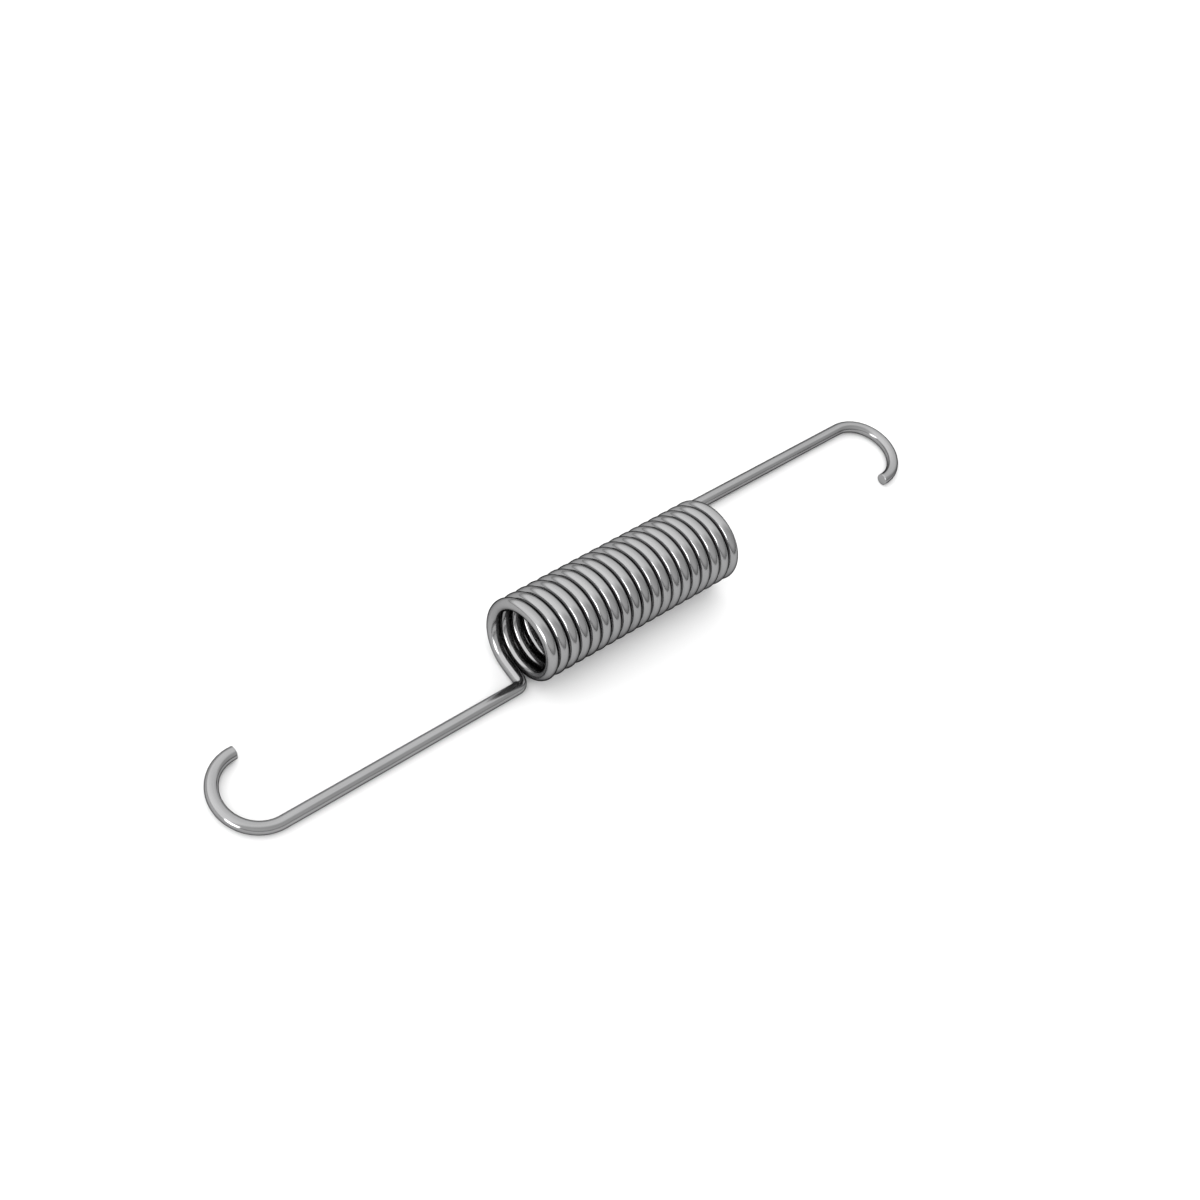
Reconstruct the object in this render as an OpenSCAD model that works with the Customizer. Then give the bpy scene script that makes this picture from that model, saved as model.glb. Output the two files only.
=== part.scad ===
// Extension spring with long arms: one length of round spring wire, wound
// into an open right-hand coil. Both ends leave the coil at its underside,
// run out flat as straight arms and finish in half-round hooks, so the whole
// spring lies flat on a surface. Millimetres, +Z up, coil along X.

/* [Wire] */
// Diameter of the spring wire
wire_d = 2; // [1:0.1:3]

/* [Coil] */
// Diameter of the coil, from wire centre to wire centre
coil_mean_d = 12; // [9:0.1:20]
// Whole turns in the coil
coil_turns = 19; // [3:1:24]
// Space between neighbouring turns
turn_gap = 0.12; // [0.06:0.02:0.8]

/* [Near end] */
// Straight tail that carries the wire out from under the coil
near_tail = 2.9; // [2:0.1:12]
// Inside radius of the elbow between tail and arm
near_elbow_r = 0.2; // [0.1:0.1:3]
// Straight length of the arm
near_arm = 42.2; // [10:0.1:80]
// Inside radius of the hook
near_hook_r = 5.2; // [3:0.1:9]
// How far round the hook goes, in degrees
near_hook_turn = 184; // [180:1:250]

/* [Far end] */
// Straight tail that carries the wire out from under the coil
far_tail = 7.4; // [2:0.1:12]
// Inside radius of the elbow between tail and arm
far_elbow_r = 0.2; // [0.1:0.1:3]
// Straight length of the arm
far_arm = 42.2; // [10:0.1:80]
// Inside radius of the hook
far_hook_r = 5.2; // [3:0.1:9]
// How far round the hook goes, in degrees
far_hook_turn = 184; // [180:1:250]

/* [Hidden] */
$fn = 48;
STEEL = [0.62, 0.62, 0.64];

wire_r = wire_d / 2;
coil_r = coil_mean_d / 2;
pitch = wire_d + turn_gap;
coil_l = coil_turns * pitch;

// The wire is drawn in lengths, each straight or a plane arc. Every second
// one is slimmer by a hair and laps into its neighbours, so that all of them
// join as one solid.
SLIM_STEP = 0.01;
SLIM_LAP = 0.1;
function drawn_r(slim) = slim ? wire_r - SLIM_STEP : wire_r;
function lap(slim) = slim ? SLIM_LAP : 0;
function lap_angle(slim, mean_r) = lap(slim) / mean_r * 180 / PI;

// A turn is bent from arcs that meet tangent on the coil's mean circle.
ARCS = 4;
arc_step = 360 / ARCS;
arc_rise = pitch / ARCS;
arc_chord_across = 2 * coil_r * sin(arc_step / 2);
arc_chord = sqrt(arc_rise ^ 2 + arc_chord_across ^ 2);
// Slope of the wire where two arcs meet: rise along X over travel round X
joint_slope = arc_rise / (2 * coil_r * tan(arc_step / 2));
joint_lead = atan(joint_slope);
// Tilt of an arc's plane, the angle it bends through and its radius
arc_lead = atan(arc_rise / arc_chord_across);
arc_bend = acos((joint_slope ^ 2 + cos(arc_step)) / (joint_slope ^ 2 + 1));
arc_r = arc_chord / (2 * sin(arc_bend / 2));

// Where an end's arm lies, across from the coil's axis
function arm_offset(tail, elbow_r) =
    tail * cos(joint_lead) + (elbow_r + wire_r) * (1 - sin(joint_lead));
// How far an end reaches along X from the middle of the coil
function end_reach(tail, elbow_r, arm, hook_r) =
    coil_l / 2 + tail * sin(joint_lead) + (elbow_r + wire_r) * cos(joint_lead)
    + arm + hook_r + wire_d;
// How far the outside of a hook reaches back across the axis
function hook_back(tail, elbow_r, hook_r) =
    2 * (hook_r + wire_r) + wire_r - arm_offset(tail, elbow_r);

// The bounding box's middle, which the origin stands under
near_reach = end_reach(near_tail, near_elbow_r, near_arm, near_hook_r);
far_reach = end_reach(far_tail, far_elbow_r, far_arm, far_hook_r);
side_minus = max(
    coil_r + wire_r,
    arm_offset(near_tail, near_elbow_r) + wire_r,
    hook_back(far_tail, far_elbow_r, far_hook_r));
side_plus = max(
    coil_r + wire_r,
    arm_offset(far_tail, far_elbow_r) + wire_r,
    hook_back(near_tail, near_elbow_r, near_hook_r));
mid_x = (far_reach - near_reach) / 2;
mid_y = (side_plus - side_minus) / 2;

// Straight wire along +X, with what follows it at its end
module straight(l, slim) {
    translate([-lap(slim), 0, 0])
        rotate([0, 90, 0]) cylinder(h = l + 2 * lap(slim), r = drawn_r(slim));
    translate([l, 0, 0]) children();
}

// Ring of wire in the XY plane round the origin, from angle 0, lapped both ways
module ring(mean_r, angle, slim) {
    rotate([0, 0, -lap_angle(slim, mean_r)])
        rotate_extrude(angle = angle + 2 * lap_angle(slim, mean_r))
            translate([mean_r, 0]) circle(r = drawn_r(slim));
}

// Wire that bends to the right in the XY plane, with what follows it at its end
module bend(mean_r, angle, slim) {
    translate([0, -mean_r, 0]) {
        rotate([0, 0, 90 - angle]) ring(mean_r, angle, slim);
        rotate([0, 0, -angle]) translate([0, mean_r, 0]) children();
    }
}

// Tail, elbow, arm and hook, from the coil's underside outwards
module end_run(tail, elbow_r, arm, hook_r, hook_turn, slim_tail) {
    translate([coil_l / 2, 0, 0])
        rotate([0, 0, 90 - joint_lead])
            straight(tail, slim_tail)
                bend(elbow_r + wire_r, 90 - joint_lead, !slim_tail)
                    straight(arm, slim_tail)
                        bend(hook_r + wire_r, hook_turn, !slim_tail);
}

// One arc of the coil, which starts under the axis
module coil_arc(slim) {
    rotate([arc_step / 2 - 90, 0, 0])
        translate([arc_rise / 2, coil_r * cos(arc_step / 2) - arc_r * cos(arc_bend / 2), 0])
            rotate([0, arc_lead, 0])
                rotate([90, 0, 90])
                    rotate([0, 0, -arc_bend / 2]) ring(arc_r, arc_bend, slim);
}

module coil() {
    translate([-coil_l / 2, 0, coil_r])
        for (k = [0 : ARCS * coil_turns - 1])
            translate([k * arc_rise, 0, 0])
                rotate([k * arc_step, 0, 0]) coil_arc(k % 2 == 1);
}

module spring_wire() {
    color(STEEL)
        translate([-mid_x, -mid_y, wire_r]) {
            coil();
            end_run(far_tail, far_elbow_r, far_arm, far_hook_r, far_hook_turn, false);
            rotate([0, 0, 180])
                end_run(near_tail, near_elbow_r, near_arm, near_hook_r, near_hook_turn, true);
        }
}

spring_wire();
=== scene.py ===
"""Extension spring with long arms, dressed for a studio view.

One length of drawn spring wire is fed, bent and coiled by a Geometry Nodes
tree, the way a spring coiler forms it: the tree adds up short feeds of wire
along a heading that each bend turns. Metres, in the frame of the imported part.
"""

import logging
import math
from dataclasses import dataclass, field, replace
from enum import Enum

import bpy
from mathutils import Matrix, Vector


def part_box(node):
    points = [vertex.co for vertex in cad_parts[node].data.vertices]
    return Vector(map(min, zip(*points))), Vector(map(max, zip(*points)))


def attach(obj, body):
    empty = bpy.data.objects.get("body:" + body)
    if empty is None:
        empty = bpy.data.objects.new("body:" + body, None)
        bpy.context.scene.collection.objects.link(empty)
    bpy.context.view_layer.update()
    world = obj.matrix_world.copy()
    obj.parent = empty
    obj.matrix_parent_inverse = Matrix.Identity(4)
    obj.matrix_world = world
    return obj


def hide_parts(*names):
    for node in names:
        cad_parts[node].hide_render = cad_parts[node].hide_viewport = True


LOG = logging.getLogger("extension_spring")
MM = 0.001

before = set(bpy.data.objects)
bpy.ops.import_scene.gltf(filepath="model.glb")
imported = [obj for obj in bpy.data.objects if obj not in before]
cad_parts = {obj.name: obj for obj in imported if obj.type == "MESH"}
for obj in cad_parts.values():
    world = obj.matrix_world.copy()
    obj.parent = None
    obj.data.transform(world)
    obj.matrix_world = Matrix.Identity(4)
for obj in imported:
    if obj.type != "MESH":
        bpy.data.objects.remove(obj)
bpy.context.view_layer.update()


# ---------------------------------------------------------------- node helpers


class NodeGraph:
    """A node tree under construction, with short calls for common nodes."""

    def __init__(self, tree: bpy.types.NodeTree) -> None:
        """Starts from an empty tree.

        Args:
            tree: The shader or geometry tree to fill.
        """
        self.tree = tree
        tree.nodes.clear()

    def node(self, kind: str, **settings: object) -> bpy.types.Node:
        """Adds a node.

        Args:
            kind: Blender's type name of the node.
            **settings: Properties to set on it.

        Returns:
            The new node.
        """
        made = self.tree.nodes.new(kind)
        for name, value in settings.items():
            setattr(made, name, value)
        return made

    def plug(self, source: object, target: bpy.types.NodeSocket) -> None:
        """Links a socket to an input, or sets the input to a plain value."""
        if isinstance(source, bpy.types.NodeSocket):
            self.tree.links.new(source, target)
        else:
            target.default_value = source

    def maths(self, operation: str, *values: object) -> bpy.types.NodeSocket:
        """Adds a Math node.

        Args:
            operation: The Math node's operation.
            *values: A socket or a number for each input in turn.

        Returns:
            The node's output.
        """
        made = self.node("ShaderNodeMath", operation=operation)
        for value, target in zip(values, made.inputs):
            self.plug(value, target)
        return made.outputs[0]

    def vector(self, operation: str, *values: object) -> bpy.types.NodeSocket:
        """Adds a Vector Math node and returns its vector output."""
        made = self.node("ShaderNodeVectorMath", operation=operation)
        for value, target in zip(values, made.inputs):
            self.plug(value, target)
        return made.outputs[0]

    def combine(self, x: object, y: object, z: object) -> bpy.types.NodeSocket:
        """Makes a vector of three numbers or sockets."""
        made = self.node("ShaderNodeCombineXYZ")
        for value, target in zip((x, y, z), made.inputs):
            self.plug(value, target)
        return made.outputs[0]

    def ramp_over(
        self, value: object, start: object, end: object, rise: object
    ) -> bpy.types.NodeSocket:
        """Rises evenly from 0 to a height between two places, and stays there.

        Args:
            value: Where the ramp is read.
            start: Where it leaves 0.
            end: Where it reaches its height.
            rise: Its height.

        Returns:
            The ramp's height at the value.
        """
        made = self.node("ShaderNodeMapRange", clamp=True)
        for source, target in zip((value, start, end, 0.0, rise), made.inputs):
            self.plug(source, target)
        return made.outputs[0]


# -------------------------------------------------------------------- finishes


@dataclass(frozen=True)
class DrawnSteel:
    """Bright drawn spring wire: satin steel with fine lines along the wire."""

    slot: str = "spring_steel"
    dark: tuple[float, float, float] = (0.2, 0.2, 0.202)
    light: tuple[float, float, float] = (0.33, 0.33, 0.333)
    edge: float = 0.02
    smooth: float = 0.1
    rough: float = 0.2
    line_depth: float = 0.0035 * MM
    line_scale: float = 9.0
    line_stretch: float = 0.02 / MM
    line_share: float = 0.45
    cloud_size: float = 9 * MM
    cloud_low: float = 0.25
    cloud_high: float = 0.75

    def material(self) -> bpy.types.Material:
        """Builds the node material.

        Returns:
            The finished material.
        """
        made = bpy.data.materials.new("drawn_spring_steel")
        made.use_nodes = True
        g = NodeGraph(made.node_tree)
        shader = g.node("ShaderNodeBsdfPrincipled")
        out = g.node("ShaderNodeOutputMaterial")
        g.plug(shader.outputs["BSDF"], out.inputs["Surface"])
        shader.inputs["Metallic"].default_value = 1.0
        shader.inputs["Specular Tint"].default_value = (self.edge, self.edge, self.edge, 1)

        around = g.node("ShaderNodeAttribute", attribute_name="wire_around")
        along = g.node("ShaderNodeAttribute", attribute_name="wire_along")
        lines = self.draw_lines(g, around.outputs["Vector"], along.outputs["Fac"])
        clouds = self.clouds(g)

        patches = g.maths("MULTIPLY", clouds, 1 - self.line_share)
        tone = g.maths("MULTIPLY_ADD", lines, self.line_share, patches)
        colour = g.node("ShaderNodeMix", data_type="RGBA")
        g.plug(tone, colour.inputs["Factor"])
        g.plug((*self.dark, 1.0), colour.inputs[6])
        g.plug((*self.light, 1.0), colour.inputs[7])
        g.plug(colour.outputs[2], shader.inputs["Base Color"])

        grain = g.node("ShaderNodeMapRange")
        spread = (clouds, self.cloud_low, self.cloud_high, self.smooth, self.rough)
        for value, target in zip(spread, grain.inputs):
            g.plug(value, target)
        g.plug(grain.outputs[0], shader.inputs["Roughness"])

        bump = g.node("ShaderNodeBump")
        bump.inputs["Strength"].default_value = 1.0
        bump.inputs["Distance"].default_value = self.line_depth
        g.plug(lines, bump.inputs["Height"])
        g.plug(bump.outputs[0], shader.inputs["Normal"])
        return made

    def draw_lines(
        self, g: NodeGraph, around: bpy.types.NodeSocket, along: bpy.types.NodeSocket
    ) -> bpy.types.NodeSocket:
        """Lines that the drawing die leaves: fine across the wire, long along it."""
        parts = g.node("ShaderNodeSeparateXYZ")
        g.plug(around, parts.inputs[0])
        stretched = g.maths("MULTIPLY", along, self.line_stretch)
        place = g.combine(parts.outputs[0], parts.outputs[1], stretched)
        noise = g.node("ShaderNodeTexNoise", noise_dimensions="3D")
        g.plug(place, noise.inputs["Vector"])
        noise.inputs["Scale"].default_value = self.line_scale
        noise.inputs["Detail"].default_value = 3.0
        return noise.outputs["Fac"]

    def clouds(self, g: NodeGraph) -> bpy.types.NodeSocket:
        """Soft patches where the wire is a little duller."""
        place = g.node("ShaderNodeTexCoord")
        noise = g.node("ShaderNodeTexNoise", noise_dimensions="3D")
        g.plug(place.outputs["Object"], noise.inputs["Vector"])
        noise.inputs["Scale"].default_value = 1.0 / self.cloud_size
        noise.inputs["Detail"].default_value = 2.0
        return noise.outputs["Fac"]


@dataclass(frozen=True)
class PaleFloor:
    """Plain matt floor under the spring."""

    tone: float = 0.79
    roughness: float = 0.9
    sheen: float = 0.2

    def material(self) -> bpy.types.Material:
        """Builds the plain material and returns it."""
        made = bpy.data.materials.new("pale_floor")
        made.use_nodes = True
        shader = made.node_tree.nodes["Principled BSDF"]
        shader.inputs["Base Color"].default_value = (self.tone, self.tone, self.tone, 1)
        shader.inputs["Roughness"].default_value = self.roughness
        shader.inputs["Specular IOR Level"].default_value = self.sheen
        return made


# ------------------------------------------------------------------ the spring


class Forming(Enum):
    """What the coiler does to a length of wire as it is fed."""

    STRAIGHT = "straight"
    BEND = "bend"
    COIL = "coil"


@dataclass(frozen=True)
class Feed:
    """One length of wire that is fed while one forming goes on."""

    name: str
    forming: Forming
    length: float
    angle: float
    steps: int


@dataclass
class EndRun:
    """One end of the spring: tail, elbow, arm and hook."""

    name: str
    tail: float
    elbow_inside: float = 0.2 * MM
    hook_inside: float = 5.2 * MM
    hook_turn: float = math.radians(184)
    tip: float = 0.15 * MM

    def reach(self, lead: float, wire_d: float) -> float:
        """Length along X without the arm, from the coil's end to the hook's outside.

        Args:
            lead: Angle of the coil's wire to the plane across its axis.
            wire_d: Diameter of the wire.

        Returns:
            The reach in metres.
        """
        elbow = self.elbow_inside + wire_d / 2
        return self.tail * math.sin(lead) + elbow * math.cos(lead) + self.hook_inside + wire_d

    def arm_offset(self, lead: float, wire_d: float) -> float:
        """Distance across from the coil's axis to the middle of the arm."""
        elbow = self.elbow_inside + wire_d / 2
        return self.tail * math.cos(lead) + elbow * (1 - math.sin(lead))

    def feeds(self, arm: float, lead: float, wire_d: float) -> list[Feed]:
        """Lists the end's feeds from the coil outwards.

        Args:
            arm: Straight length of the arm.
            lead: Angle of the coil's wire to the plane across its axis.
            wire_d: Diameter of the wire.

        Returns:
            The feeds, each bend to the right as seen from above.
        """
        elbow = self.elbow_inside + wire_d / 2
        hook = self.hook_inside + wire_d / 2
        turn = math.pi / 2 - lead
        hook_bend = self.hook_turn - self.tip / hook
        return [
            Feed(f"{self.name}_tail", Forming.STRAIGHT, self.tail, 0.0, 8),
            Feed(f"{self.name}_elbow", Forming.BEND, elbow * turn, -turn, 16),
            Feed(f"{self.name}_arm", Forming.STRAIGHT, arm, 0.0, 40),
            Feed(f"{self.name}_hook", Forming.BEND, hook * hook_bend, -hook_bend, 56),
            Feed(f"{self.name}_tip", Forming.STRAIGHT, self.tip, 0.0, 2),
        ]


@dataclass
class SpringWire:
    """The whole spring: one wire with a coil in its middle and a hook at each end."""

    node: str = "spring_wire"
    wire_d: float = 2.0 * MM
    coil_mean_d: float = 12.0 * MM
    coil_turns: int = 19
    turn_gap: float = 0.12 * MM
    steps_per_turn: int = 72
    sides: int = 36
    tip_taper: float = 0.86
    near: EndRun = field(default_factory=lambda: EndRun("near", tail=2.9 * MM))
    far: EndRun = field(default_factory=lambda: EndRun("far", tail=7.4 * MM))

    @property
    def pitch(self) -> float:
        """Distance along the axis from one turn to the next."""
        return self.wire_d + self.turn_gap

    @property
    def coil_length(self) -> float:
        """Length of the coil along its axis, between wire centres."""
        return self.coil_turns * self.pitch

    @property
    def lead(self) -> float:
        """Angle of the coil's wire to the plane across its axis."""
        return math.atan2(self.pitch, math.pi * self.coil_mean_d)

    def arm_length(self) -> float:
        """Length of each arm: what the CAD box leaves between coil and hooks."""
        low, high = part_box(self.node)
        ends = sum(end.reach(self.lead, self.wire_d) for end in (self.near, self.far))
        return (high[0] - low[0] - self.coil_length - ends) / 2

    def feeds(self) -> list[Feed]:
        """Lists every feed from the near tip to the far tip.

        Returns:
            The feeds in order along the wire.
        """
        arm = self.arm_length()
        coil = Feed(
            "coil",
            Forming.COIL,
            self.coil_turns * math.hypot(math.pi * self.coil_mean_d, self.pitch),
            2 * math.pi * self.coil_turns,
            self.steps_per_turn * self.coil_turns,
        )
        outward = self.near.feeds(arm, self.lead, self.wire_d)
        near = [replace(feed, angle=-feed.angle) for feed in reversed(outward)]
        return [*near, coil, *self.far.feeds(arm, self.lead, self.wire_d)]

    def start_heading(self) -> float:
        """Heading of the wire at the near tip, in radians from +X."""
        bends = sum(feed.angle for feed in self.near.feeds(0, self.lead, self.wire_d))
        return math.pi / 2 - self.lead + bends

    def forming_group(self) -> bpy.types.NodeTree:
        """Builds the node group that says how far each step has fed, bent and coiled.

        Returns:
            A group with the step as its input, and the length fed, the bend
            and the coil angle up to that step as its outputs.
        """
        tree = bpy.data.node_groups.new("wire_forming", "GeometryNodeTree")
        face = tree.interface
        face.new_socket("Step", in_out="INPUT", socket_type="NodeSocketFloat")
        for name in ("Fed", "Heading", "Coil angle"):
            face.new_socket(name, in_out="OUTPUT", socket_type="NodeSocketFloat")
        g = NodeGraph(tree)
        enter = g.node("NodeGroupInput")
        leave = g.node("NodeGroupOutput")
        fed: object = 0.0
        heading: object = self.start_heading()
        coiled: object = 0.0
        step = 0
        for feed in self.feeds():
            ends = (float(step), float(step + feed.steps))
            fed = g.maths(
                "ADD", fed, g.ramp_over(enter.outputs["Step"], *ends, feed.length)
            )
            if feed.forming is Forming.BEND:
                ramp = g.ramp_over(enter.outputs["Step"], *ends, feed.angle)
                heading = g.maths("ADD", heading, ramp)
            if feed.forming is Forming.COIL:
                coiled = g.ramp_over(enter.outputs["Step"], *ends, feed.angle)
            step += feed.steps
        for value, target in zip((fed, heading, coiled), leave.inputs):
            g.plug(value, target)
        return tree

    def tree(self, finish: bpy.types.Material) -> bpy.types.NodeTree:
        """Builds the tree that forms the wire.

        Args:
            finish: Not used here; the material comes in through the tree's Finish input.

        Returns:
            The tree, with the wire's sizes as named inputs.
        """
        forming = self.forming_group()
        tree = bpy.data.node_groups.new("spring_coiler", "GeometryNodeTree")
        face = tree.interface
        face.new_socket("Geometry", in_out="OUTPUT", socket_type="NodeSocketGeometry")
        inputs = {
            "Wire radius": "NodeSocketFloat",
            "Sides": "NodeSocketInt",
            "Steps": "NodeSocketInt",
            "Tip taper": "NodeSocketFloat",
            "Start": "NodeSocketVector",
            "Finish": "NodeSocketMaterial",
        }
        for name, kind in inputs.items():
            face.new_socket(name, in_out="INPUT", socket_type=kind)
        g = NodeGraph(tree)
        enter = g.node("NodeGroupInput")
        leave = g.node("NodeGroupOutput")
        index = g.node("GeometryNodeInputIndex").outputs[0]

        def formed(offset: float) -> bpy.types.Node:
            """Reads the forming at each point, or a part of a step after it."""
            made = g.node("GeometryNodeGroup")
            made.node_tree = forming
            g.plug(g.maths("ADD", index, offset), made.inputs["Step"])
            return made

        here, halfway, after = formed(0.0), formed(0.5), formed(1.0)
        heading, coiled = halfway.outputs["Heading"], halfway.outputs["Coil angle"]
        across = g.maths("SINE", heading)
        direction = g.combine(
            g.maths("COSINE", heading),
            g.maths("MULTIPLY", across, g.maths("COSINE", coiled)),
            g.maths("MULTIPLY", across, g.maths("SINE", coiled)),
        )
        length = g.maths("SUBTRACT", after.outputs["Fed"], here.outputs["Fed"])
        scaled = g.node("ShaderNodeVectorMath", operation="SCALE")
        g.plug(direction, scaled.inputs[0])
        g.plug(length, scaled.inputs["Scale"])
        total = g.node("GeometryNodeAccumulateField", data_type="FLOAT_VECTOR")
        g.plug(scaled.outputs[0], total.inputs["Value"])

        line = g.node("GeometryNodeCurvePrimitiveLine")
        points = g.node("GeometryNodeResampleCurve")
        g.plug(line.outputs[0], points.inputs["Curve"])
        g.plug(g.maths("ADD", enter.outputs["Steps"], 1.0), points.inputs["Count"])
        placed = g.node("GeometryNodeSetPosition")
        g.plug(points.outputs[0], placed.inputs["Geometry"])
        route = g.vector("ADD", total.outputs["Trailing"], enter.outputs["Start"])
        g.plug(route, placed.inputs["Position"])
        kept = g.node(
            "GeometryNodeStoreNamedAttribute", data_type="FLOAT", domain="POINT"
        )
        kept.inputs["Name"].default_value = "wire_along"
        g.plug(placed.outputs[0], kept.inputs["Geometry"])
        g.plug(here.outputs["Fed"], kept.inputs["Value"])

        last = g.maths("SUBTRACT", enter.outputs["Steps"], index)
        from_tip = g.maths("MINIMUM", g.maths("MINIMUM", index, last), 1.0)
        width = g.node("ShaderNodeMapRange", clamp=True)
        for value, target in zip(
            (from_tip, 0.0, 1.0, enter.outputs["Tip taper"], 1.0), width.inputs
        ):
            g.plug(value, target)
        upright = g.node("GeometryNodeSetCurveNormal")
        g.plug(kept.outputs[0], upright.inputs["Curve"])

        ring = g.node("GeometryNodeCurvePrimitiveCircle", mode="RADIUS")
        g.plug(enter.outputs["Sides"], ring.inputs["Resolution"])
        g.plug(enter.outputs["Wire radius"], ring.inputs["Radius"])
        rim = g.node(
            "GeometryNodeStoreNamedAttribute", data_type="FLOAT_VECTOR", domain="POINT"
        )
        rim.inputs["Name"].default_value = "wire_around"
        g.plug(ring.outputs[0], rim.inputs["Geometry"])
        spot = g.node("GeometryNodeInputPosition").outputs[0]
        g.plug(g.vector("NORMALIZE", spot), rim.inputs["Value"])

        swept = g.node("GeometryNodeCurveToMesh")
        swept.inputs["Fill Caps"].default_value = True
        g.plug(upright.outputs[0], swept.inputs["Curve"])
        g.plug(rim.outputs[0], swept.inputs["Profile Curve"])
        g.plug(width.outputs[0], swept.inputs["Scale"])
        whole = g.node("GeometryNodeRealizeInstances")
        g.plug(swept.outputs[0], whole.inputs[0])
        dressed = g.node("GeometryNodeSetMaterial")
        g.plug(whole.outputs[0], dressed.inputs["Geometry"])
        g.plug(enter.outputs["Finish"], dressed.inputs["Material"])
        g.plug(dressed.outputs[0], leave.inputs[0])
        return tree

    def build(self, steel: DrawnSteel) -> bpy.types.Object:
        """Forms the wire, makes it a plain mesh and lays it in the CAD box.

        Args:
            steel: The finish of the wire.

        Returns:
            The finished piece.
        """
        finish = steel.material()
        tree = self.tree(finish)
        steps = sum(feed.steps for feed in self.feeds())
        values = {
            "Wire radius": self.wire_d / 2,
            "Sides": self.sides,
            "Steps": steps,
            "Tip taper": self.tip_taper,
            "Start": (0.0, 0.0, self.wire_d / 2),
            "Finish": finish,
        }
        carrier = bpy.data.objects.new("wire_former", bpy.data.meshes.new("wire_former"))
        bpy.context.scene.collection.objects.link(carrier)
        modifier = carrier.modifiers.new("spring_coiler", "NODES")
        modifier.node_group = tree
        for item in tree.interface.items_tree:
            if item.in_out == "INPUT":
                modifier[item.identifier] = values[item.name]
        bpy.context.view_layer.update()
        graph = bpy.context.evaluated_depsgraph_get()
        mesh = bpy.data.meshes.new_from_object(carrier.evaluated_get(graph))
        bpy.data.objects.remove(carrier)
        mesh.name = "spring_wire_surface"
        self.lay_in_box(mesh)
        self.shade(mesh)
        piece = bpy.data.objects.new("spring_wire_drawn", mesh)
        bpy.context.scene.collection.objects.link(piece)
        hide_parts(self.node)
        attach(piece, "root")
        return piece

    def lay_in_box(self, mesh: bpy.types.Mesh) -> None:
        """Moves the formed mesh so that its box shares the CAD box's middle and floor."""
        low, high = (Vector(corner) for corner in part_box(self.node))
        spots = [vertex.co for vertex in mesh.vertices]
        least = Vector(min(spot[k] for spot in spots) for k in range(3))
        most = Vector(max(spot[k] for spot in spots) for k in range(3))
        shift = (low + high - least - most) / 2
        shift.z = low.z - least.z
        mesh.transform(Matrix.Translation(shift))

    def shade(self, mesh: bpy.types.Mesh) -> None:
        """Shades the wire smooth and keeps the cut ends flat."""
        for polygon in mesh.polygons:
            polygon.use_smooth = len(polygon.vertices) == 4
        mesh.update()


# ---------------------------------------------------------------------- studio


@dataclass(frozen=True)
class Camera:
    """The camera: where it looks, from how far and at what turn."""

    aim: tuple[float, float, float] = (-3.03 * MM, -1.17 * MM, 5.81 * MM)
    azimuth: float = math.radians(61.74)
    elevation: float = math.radians(51.04)
    roll: float = math.radians(-26.42)
    distance: float = 271.6 * MM
    lens: float = 53.12

    def build(self) -> bpy.types.Object:
        """Places the camera, makes it the scene's own and returns it."""
        data = bpy.data.cameras.new("view")
        data.lens = self.lens
        data.sensor_width = 36.0
        data.clip_start = 0.01
        data.clip_end = 20.0
        camera = bpy.data.objects.new("view", data)
        bpy.context.scene.collection.objects.link(camera)
        level = math.cos(self.elevation)
        look = Vector(
            (
                math.sin(self.azimuth) * level,
                math.cos(self.azimuth) * level,
                -math.sin(self.elevation),
            )
        )
        turn = look.to_track_quat("-Z", "Y").to_matrix().to_4x4()
        turn = turn @ Matrix.Rotation(-self.roll, 4, "Z")
        place = Vector(self.aim) - look * self.distance
        camera.matrix_world = Matrix.Translation(place) @ turn
        bpy.context.scene.camera = camera
        return camera


@dataclass(frozen=True)
class SoftLight:
    """A square soft box that points at the spring."""

    name: str
    place: tuple[float, float, float]
    size: float
    glow: float

    def build(self) -> bpy.types.Object:
        """Hangs the light, turns it to the spring and returns it."""
        data = bpy.data.lights.new(self.name, "AREA")
        data.shape = "SQUARE"
        data.size = self.size
        data.energy = self.glow * math.pi * self.size**2
        light = bpy.data.objects.new(self.name, data)
        bpy.context.scene.collection.objects.link(light)
        aim = Vector(self.place)
        turn = (-aim).to_track_quat("-Z", "Y").to_matrix().to_4x4()
        light.matrix_world = Matrix.Translation(aim) @ turn
        return light


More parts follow.
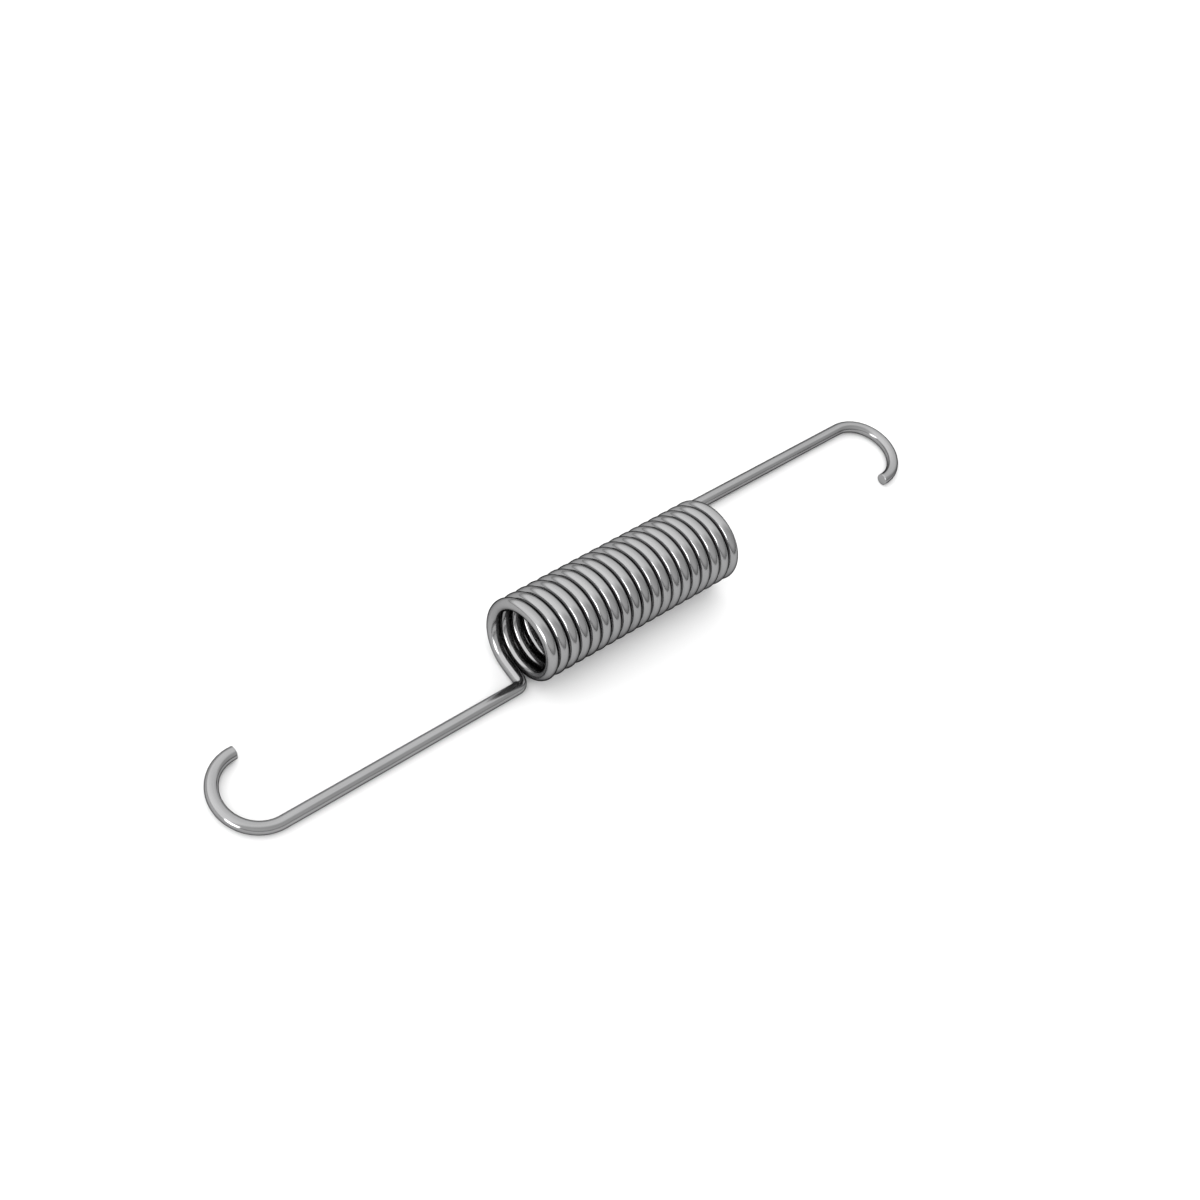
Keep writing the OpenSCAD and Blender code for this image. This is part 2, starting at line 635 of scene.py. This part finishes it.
@dataclass(frozen=True)
class Studio:
    """Pale floor, graded sky and soft lights.

    The sky has one strength in front of the spring (-Y) and another behind it.
    That is scaled from the near side (-X) to the far side and fades at the
    horizon. Each fade is given by where it starts and ends on the unit sphere.
    """

    floor_size: float = 6.0
    front_sky: float = 1.25
    back_sky: float = 2.3
    depth_fade: tuple[float, float] = (-0.4, -0.1)
    near_side: float = 1.18
    far_side: float = 0.78
    side_fade: tuple[float, float] = (-0.4, 1.0)
    horizon: float = 0.25
    horizon_fade: tuple[float, float] = (0.0, 0.3)
    lights: tuple[SoftLight, ...] = (
        SoftLight("near_side", (-0.85, -0.25, 0.22), 0.4, 7.0),
    )

    def build(self) -> None:
        """Builds the floor, the sky and the lights."""
        half = self.floor_size / 2
        mesh = bpy.data.meshes.new("studio_floor")
        corners = [(-half, -half, 0), (half, -half, 0), (half, half, 0), (-half, half, 0)]
        mesh.from_pydata(corners, [], [(0, 1, 2, 3)])
        mesh.materials.append(PaleFloor().material())
        floor = bpy.data.objects.new("studio_floor", mesh)
        bpy.context.scene.collection.objects.link(floor)

        bpy.context.scene.world = self.sky()
        for light in self.lights:
            light.build()
        bpy.context.scene.view_settings.view_transform = "Standard"

    def sky(self) -> bpy.types.World:
        """Builds the graded sky as a world and returns it."""
        world = bpy.data.worlds.new("studio_sky")
        world.use_nodes = True
        g = NodeGraph(world.node_tree)
        direction = g.node("ShaderNodeTexCoord").outputs["Generated"]
        parts = g.node("ShaderNodeSeparateXYZ")
        g.plug(direction, parts.inputs[0])
        x, y, z = parts.outputs
        rise = g.ramp_over(y, *self.depth_fade, self.back_sky - self.front_sky)
        fall = g.ramp_over(x, *self.side_fade, self.near_side - self.far_side)
        haze = g.ramp_over(z, *self.horizon_fade, 1.0 - self.horizon)
        depth = g.maths("ADD", rise, self.front_sky)
        side = g.maths("SUBTRACT", self.near_side, fall)
        height = g.maths("ADD", haze, self.horizon)
        strength = g.maths("MULTIPLY", g.maths("MULTIPLY", depth, side), height)
        background = g.node("ShaderNodeBackground")
        g.plug(strength, background.inputs["Strength"])
        out = g.node("ShaderNodeOutputWorld")
        g.plug(background.outputs[0], out.inputs["Surface"])
        return world


def main() -> None:
    """Builds the spring, then the studio and the camera."""
    logging.basicConfig(level=logging.INFO)
    spring = SpringWire()
    piece = spring.build(DrawnSteel())
    LOG.info(
        "%s: %d faces, arms %.1f mm",
        piece.name,
        len(piece.data.polygons),
        spring.arm_length() / MM,
    )
    Studio().build()
    Camera().build()


if __name__ == "__main__":
    main()
